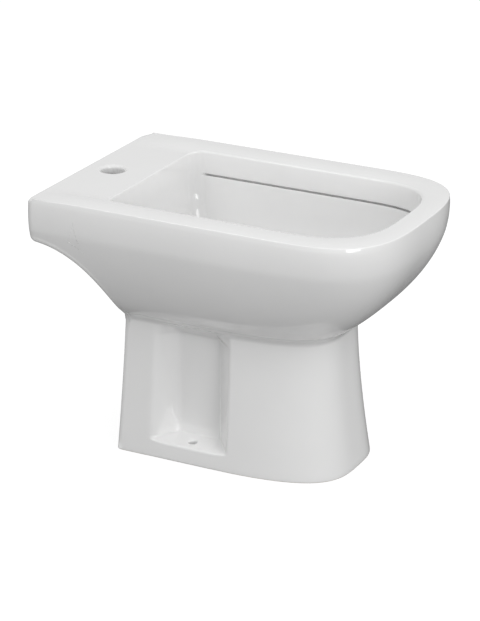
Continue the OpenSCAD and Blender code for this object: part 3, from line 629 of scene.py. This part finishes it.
# Tap hole, drawn down soft at its rim by the glaze, and the two floor fixing holes
middle = halves - 1
half_window, tap_rows = 10, 13  # grid cells that the tap hole's opening takes
tap_y = wall_face - tap_from_wall
tap_window = 0.026
grid = points.reshape(rows, columns, 3)
deck_y = grid[first_row["band"]:first_row["roll"], middle, 1]
under_y = grid[first_row["under"]:first_row["bowl_back"], middle, 1]
deck_first = int(np.argmin(np.abs(deck_y - (tap_y - tap_window))))
under_first = int(np.argmin(np.abs(under_y - (tap_y + tap_window))))
across_tap = (middle - half_window, middle + half_window)
tap_top = opening(*rows_of("band", deck_first, deck_first + tap_rows), *across_tap)
tap_low = opening(*rows_of("under", under_first, under_first + tap_rows), *across_tap)
bend = np.radians(np.linspace(0, 90, 8))


def hole_profile(radius, mouth, mouth_depth, shares, burr, burr_start):
    """A hole as (radius, depth share): a mouth rounded by the glaze, an even run at the given shares of
    the depth and a small round at the far end."""
    return ([(radius + mouth * (1 - math.sin(a)), mouth_depth * (1 - math.cos(a))) for a in bend]
            + [(radius, share) for share in shares]
            + [(radius + burr * (1 - math.cos(a)), mix(burr_start, 1, math.sin(a))) for a in bend[::3]])


tap_profile = hole_profile(tap_hole_radius, 0.0055, 0.34, (0.5, 0.7, 0.85), 0.001, 0.92)
fix_profile = hole_profile(fix_radius, 0.0028, 0.12, (0.3, 0.5, 0.7, 0.9), 0.0006, 0.97)
holes = [(tap_top, tap_low, (0, tap_y), tap_profile, 6)]
fix_cells = 7  # grid cells that a fixing hole's opening takes, each way
sill_reach, foot_reach = 0.0115, 0.013
fix_column = len(nose_share) + int(np.argmin(np.abs(side_y - (fix_y - fix_window))))
fix_middle = fix_column + fix_cells // 2
sill_x = grid[first_row["outer"]:first_row["lip"], fix_middle, 0]
sill_rows = np.flatnonzero(np.abs(outer_heights - (sill + sill_rise / 2)) < sill_rise / 2 + 1e-6)
sill_first = int(sill_rows[np.argmin(np.abs(sill_x[sill_rows] - (fix_x - sill_reach)))])
foot_x = grid[first_row["lip"]:first_row["inner"], fix_middle, 0]
foot_first = int(np.argmin(np.abs(foot_x - (fix_x + foot_reach))))
for left, sign in ((fix_column, 1), (columns - fix_column - fix_cells, -1)):
    holes.append((opening(*rows_of("outer", sill_first, sill_first + fix_cells), left, left + fix_cells),
                  opening(*rows_of("lip", foot_first, foot_first + fix_cells), left, left + fix_cells),
                  (sign * fix_x, fix_y), fix_profile, 4))
faces = [quads[open_cell]]
for hole in holes:
    more, walls = drilled(*hole)
    points = np.concatenate([points, more])
    faces.append(walls)
faces = np.concatenate(faces)


def closed_mesh(name, vertices, polygons):
    """A mesh object from arrays of points and faces, smooth shaded, with its faces pointing outwards."""
    mesh = bpy.data.meshes.new(name)
    mesh.from_pydata(vertices.tolist(), [], polygons.tolist())
    mesh.polygons.foreach_set("use_smooth", np.ones(len(mesh.polygons), bool))
    mesh.update()
    piece = bpy.data.objects.new(name, mesh)
    bpy.context.scene.collection.objects.link(piece)
    shell = bmesh.new()
    shell.from_mesh(mesh)
    bmesh.ops.recalc_face_normals(shell, faces=shell.faces)
    shell.to_mesh(mesh)
    shell.free()
    return piece


china = closed_mesh("china_casting", points, faces)


def finish_nodes(material):
    """The node tree and the shader of a material."""
    material.use_nodes = True
    tree = material.node_tree
    shader = tree.nodes["Principled BSDF"]
    return tree, shader


def noise(tree, scale, detail=2.0, stretch=(1, 1, 1)):
    """A soft procedural noise on the object's own coordinates, in metres."""
    where = tree.nodes.new("ShaderNodeTexCoord")
    mapping = tree.nodes.new("ShaderNodeMapping")
    mapping.inputs["Scale"].default_value = stretch
    pattern = tree.nodes.new("ShaderNodeTexNoise")
    pattern.inputs["Scale"].default_value = scale
    pattern.inputs["Detail"].default_value = detail
    tree.links.new(where.outputs["Object"], mapping.inputs["Vector"])
    tree.links.new(mapping.outputs["Vector"], pattern.inputs["Vector"])
    return pattern


def shade(tree, factor, low_value, high_value, start=0.3, end=0.7):
    """A ramp from one value to another over a factor."""
    ramp_node = tree.nodes.new("ShaderNodeMapRange")
    ramp_node.inputs["From Min"].default_value = start
    ramp_node.inputs["From Max"].default_value = end
    ramp_node.inputs["To Min"].default_value = low_value
    ramp_node.inputs["To Max"].default_value = high_value
    tree.links.new(factor, ramp_node.inputs["Value"])
    return ramp_node.outputs["Result"]


def blend_colours(tree, factor, first, second):
    """A mix of two colours by a factor."""
    node = tree.nodes.new("ShaderNodeMix")
    node.data_type = "RGBA"
    node.inputs["A"].default_value = (*first, 1)
    node.inputs["B"].default_value = (*second, 1)
    tree.links.new(factor, node.inputs["Factor"])
    return node.outputs["Result"]


def bump(tree, shader, height, depth, strength=1.0):
    """A bump of a real depth, in metres."""
    node = tree.nodes.new("ShaderNodeBump")
    node.inputs["Strength"].default_value = strength
    node.inputs["Distance"].default_value = depth
    tree.links.new(height, node.inputs["Height"])
    tree.links.new(node.outputs["Normal"], shader.inputs["Normal"])


# Glaze: milky white under a clear gloss, with a faint waviness and a few paler clouds; the foot's
# underside is bare bisque, matt and a little cream
glaze = bpy.data.materials.new("white_glaze")
tree, shader = finish_nodes(glaze)
shader.inputs["Specular IOR Level"].default_value = 0.1
shader.inputs["Coat Weight"].default_value = 1.0
shader.inputs["Coat Roughness"].default_value = 0.04
shader.inputs["Coat IOR"].default_value = 1.65
where = tree.nodes.new("ShaderNodeTexCoord")
split = tree.nodes.new("ShaderNodeSeparateXYZ")
tree.links.new(where.outputs["Object"], split.inputs["Vector"])
bare_height, glazed_height = 0.0006, 0.0016
bare = shade(tree, split.outputs["Z"], 1.0, 0.0, bare_height, glazed_height)
clouds = noise(tree, 9.0, 3.0)
white = blend_colours(tree, shade(tree, clouds.outputs["Fac"], 0, 1),
                      (0.88, 0.88, 0.877), (0.90, 0.90, 0.897))
colour = tree.nodes.new("ShaderNodeMix")
colour.data_type = "RGBA"
colour.inputs["B"].default_value = (0.74, 0.70, 0.63, 1)
tree.links.new(bare, colour.inputs["Factor"])
tree.links.new(white, colour.inputs["A"])
tree.links.new(colour.outputs["Result"], shader.inputs["Base Color"])
gloss = noise(tree, 30.0, 2.0)
rough = tree.nodes.new("ShaderNodeMath")
rough.operation = "MAXIMUM"
tree.links.new(shade(tree, gloss.outputs["Fac"], 0.16, 0.22), rough.inputs[0])
tree.links.new(shade(tree, bare, 0.0, 0.85, 0, 1), rough.inputs[1])
tree.links.new(rough.outputs["Value"], shader.inputs["Roughness"])
bump(tree, shader, noise(tree, 55.0, 1.0).outputs["Fac"], 0.00004, 0.5)
china.data.materials.append(glaze)
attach(china, "casting")
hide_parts(*castings)

# ---------------------------------------------------------------------------------------------
# Waste and click plug. A flanged brass waste, chrome plated, clamped in the drain hole; the plug's
# cap is pressed and plated, and a spring cartridge in the waste's spider lifts it.


def dress(material, *names):
    """Gives pieces that the frame already holds their finish."""
    for name in names:
        nodes[name].data.materials.clear()
        nodes[name].data.materials.append(material)


def mottled(name, pattern, colours, roughness, relief, metallic=0.0, relief_pattern=None):
    """A material whose colour and roughness both vary with one noise, under a fine bump. pattern is the
    noise's scale, detail and stretch, and relief the bump's depth in metres and its strength."""
    material = bpy.data.materials.new(name)
    tree, shader = finish_nodes(material)
    shader.inputs["Metallic"].default_value = metallic
    spots = noise(tree, *pattern).outputs["Fac"]
    tree.links.new(blend_colours(tree, shade(tree, spots, 0, 1), *colours), shader.inputs["Base Color"])
    tree.links.new(shade(tree, spots, *roughness), shader.inputs["Roughness"])
    bump(tree, shader, noise(tree, *relief_pattern).outputs["Fac"] if relief_pattern else spots, *relief)
    return material


chrome = mottled("chrome_plate", (60.0, 3.0), ((0.78, 0.79, 0.80), (0.84, 0.85, 0.86)), (0.06, 0.13),
                 (0.00001, 0.4), metallic=1.0, relief_pattern=(400.0, 1.0))
rubber = mottled("black_rubber", (900.0, 2.0), ((0.030, 0.030, 0.031), (0.055, 0.055, 0.055)), (0.55, 0.7),
                 (0.00005, 0.5))
brass = mottled("turned_brass", (300.0, 2.0, (0.2, 0.2, 6)), ((0.68, 0.50, 0.24), (0.78, 0.62, 0.33)),
                (0.22, 0.38), (0.00003, 0.5), metallic=1.0)
acetal = mottled("grey_acetal", (120.0, 2.0), ((0.70, 0.71, 0.72), (0.78, 0.79, 0.80)), (0.3, 0.42),
                 (0.00003, 0.3))
wire = mottled("drawn_steel_wire", (700.0, 2.0), ((0.52, 0.52, 0.53), (0.64, 0.64, 0.65)), (0.22, 0.4),
               (0.00002, 0.4), metallic=1.0)
dress(chrome, "waste_body", "waste_plug", "tail_nut", "tailpiece")
dress(rubber, "top_gasket", "bottom_gasket", "plug_seal", "tail_washer", "trap_inlet_seal", "trap_cup_seal",
      "trap_outlet_seal")
dress(brass, "back_nut")
dress(acetal, "plunger", "cartridge_housing")
dress(wire, "return_spring")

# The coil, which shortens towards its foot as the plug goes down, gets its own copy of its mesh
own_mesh(nodes["return_spring"])

# ---------------------------------------------------------------------------------------------
# Trap and outlet. A moulded white bottle trap under the waste, with union nuts, rubber seals and a
# 32 mm outlet pipe towards the wall.

moulded = mottled("moulded_white_plastic", (200.0, 3.0), ((0.80, 0.80, 0.79), (0.86, 0.86, 0.85)),
                  (0.32, 0.45), (0.00004, 0.4))
dress(moulded, "slip_washer", "trap_inlet_nut", "trap_body", "trap_cup", "trap_outlet_nut", "outlet_pipe")

# ---------------------------------------------------------------------------------------------
# Studio. A plain pale floor that shows white to the camera but keeps the body's shadow, a pale sky
# that gives most of the light, and three soft lamps: one high in front, a low one at the front left
# and a long narrow one high behind on the left, aimed at the near edge of the rim.

floor_mesh = bpy.data.meshes.new("floor")
floor_half = 6.0
floor_mesh.from_pydata([(-floor_half, -floor_half, 0), (floor_half, -floor_half, 0),
                        (floor_half, floor_half, 0), (-floor_half, floor_half, 0)], [], [(0, 1, 2, 3)])
floor = bpy.data.objects.new("floor", floor_mesh)
bpy.context.scene.collection.objects.link(floor)
paper = bpy.data.materials.new("studio_paper")
tree, shader = finish_nodes(paper)
shader.inputs["Base Color"].default_value = (0.26, 0.26, 0.26, 1)
shader.inputs["Roughness"].default_value = 0.9
shader.inputs["Specular IOR Level"].default_value = 0.0
glow = tree.nodes.new("ShaderNodeEmission")
glow.inputs["Strength"].default_value = 0.85
seen = tree.nodes.new("ShaderNodeLightPath")
camera_glow = tree.nodes.new("ShaderNodeMixShader")
nothing = tree.nodes.new("ShaderNodeEmission")
nothing.inputs["Strength"].default_value = 0.0
tree.links.new(seen.outputs["Is Camera Ray"], camera_glow.inputs["Fac"])
tree.links.new(nothing.outputs["Emission"], camera_glow.inputs[1])
tree.links.new(glow.outputs["Emission"], camera_glow.inputs[2])
add = tree.nodes.new("ShaderNodeAddShader")
tree.links.new(shader.outputs["BSDF"], add.inputs[0])
tree.links.new(camera_glow.outputs["Shader"], add.inputs[1])
tree.links.new(add.outputs["Shader"], tree.nodes["Material Output"].inputs["Surface"])
floor.data.materials.append(paper)

sky = bpy.data.worlds.new("studio_sky")
bpy.context.scene.world = sky
sky.use_nodes = True
tree = sky.node_tree
background = tree.nodes["Background"]
background.inputs["Color"].default_value = (1, 1, 1, 1)
seen = tree.nodes.new("ShaderNodeLightPath")
level = tree.nodes.new("ShaderNodeMix")
level.inputs["A"].default_value = 0.74
level.inputs["B"].default_value = 1.0
tree.links.new(seen.outputs["Is Camera Ray"], level.inputs["Factor"])
tree.links.new(level.outputs["Result"], background.inputs["Strength"])


def soft_lamp(name, place, target, size, power):
    """A rectangular softbox aimed at a point."""
    data = bpy.data.lights.new(name, "AREA")
    data.shape = "RECTANGLE"
    data.size, data.size_y = size
    data.energy = power
    lamp = bpy.data.objects.new(name, data)
    bpy.context.scene.collection.objects.link(lamp)
    aim = (Vector(target) - Vector(place)).to_track_quat("-Z", "Y").to_matrix().to_4x4()
    lamp.matrix_world = Matrix.Translation(place) @ aim


body_middle = (0, 0, 0.2)
near_edge = (-0.172, 0.015, 0.388)
soft_lamp("front_high", (-0.9, -1.8, 2.2), body_middle, (1.0, 0.8), 9)
soft_lamp("front_left", (-1.7, -2.1, 0.7), body_middle, (1.2, 1.0), 17)
soft_lamp("left", (-1.77, 1.19, 2.35), near_edge, (0.42, 1.4), 6)

# ---------------------------------------------------------------------------------------------
# Camera. A long lens that looks down on the bidet from the left of its nose, as the photograph does.
# Its direction, distance and lens are solved from the photograph's outline, and its focal length and
# shifts are in the photograph's pixels.

view_azimuth = math.radians(26.781)
view_height = math.radians(21.733)
view_roll = math.radians(0.32)
distance = 3.6459
frame_pixels = 621
focal_pixels = 2547.5
aim_point = Vector(body_middle)
shift_right, shift_up = -12.01, 4.50
sensor = 36
back = Vector((-math.cos(view_azimuth) * math.cos(view_height),
               -math.sin(view_azimuth) * math.cos(view_height), math.sin(view_height)))
right = Vector((math.sin(view_azimuth), -math.cos(view_azimuth), 0))
up = back.cross(right)
pixel = distance / focal_pixels
eye = aim_point + back * distance
look_at = aim_point + right * (shift_right * pixel) + up * (shift_up * pixel)
back = (eye - look_at).normalized()
right = Vector((0, 0, 1)).cross(back).normalized()
up = back.cross(right)
turn = Matrix((right, up, back)).transposed() @ Matrix.Rotation(view_roll, 3, "Z")
lens = bpy.data.cameras.new("camera")
lens.sensor_fit = "VERTICAL"
lens.sensor_height = sensor
lens.lens = sensor * focal_pixels / frame_pixels
lens.clip_end = 50
camera = bpy.data.objects.new("camera", lens)
bpy.context.scene.collection.objects.link(camera)
camera.matrix_world = Matrix.Translation(eye) @ turn.to_4x4()
bpy.context.scene.camera = camera
bpy.context.scene.view_settings.view_transform = "Standard"
